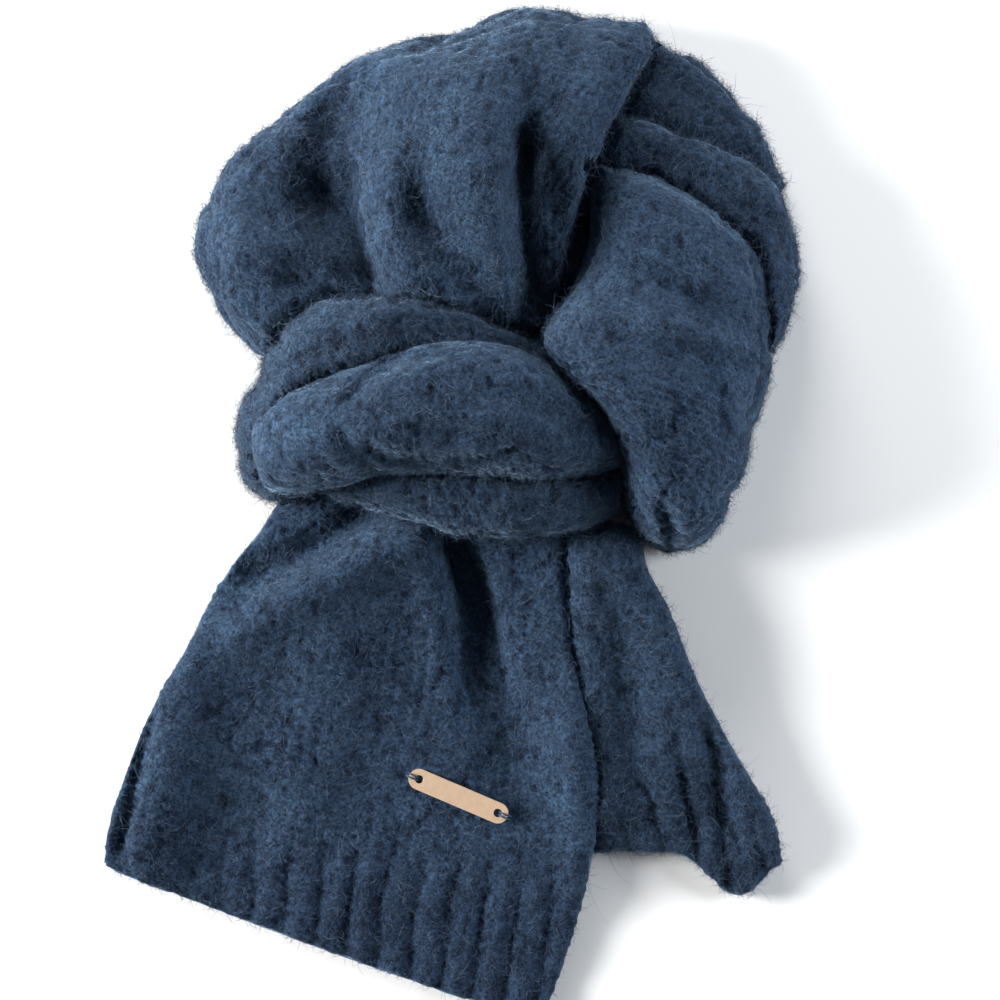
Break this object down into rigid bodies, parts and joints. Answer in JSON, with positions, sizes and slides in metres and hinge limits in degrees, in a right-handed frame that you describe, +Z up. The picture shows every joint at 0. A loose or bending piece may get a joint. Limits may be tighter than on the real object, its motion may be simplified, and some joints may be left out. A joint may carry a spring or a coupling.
{
  "type": "knit scarf",
  "caption": "Chunky brushed-knit scarf, knotted with a collapsed neck loop and laid flat, with two ribbed tails and a bare metal label plate.",
  "frame": {"origin": "centre of the plan outline, on the surface the scarf lies on", "axes": "+Z up from the surface, -Y towards the hems of the tails, +X to the right in the picture"},
  "size_m": [0.3442, 0.5054, 0.0924],
  "materials": {
    "brushed_knit": "brushed mohair-blend knit, steel blue, matt with long soft hairs",
    "plate_metal": "pale gold, satin, bare"
  },
  "bodies": {
    "root": {"loop_left": "brushed_knit", "loop_back": "brushed_knit", "loop_mid": "brushed_knit", "loop_right": "brushed_knit", "wrap_upper": "brushed_knit", "wrap_middle": "brushed_knit", "wrap_lower": "brushed_knit", "tail_front": "brushed_knit", "tail_back": "brushed_knit", "hidden_layers": "brushed_knit", "label_plate": "plate_metal"}
  },
  "joints": []
}
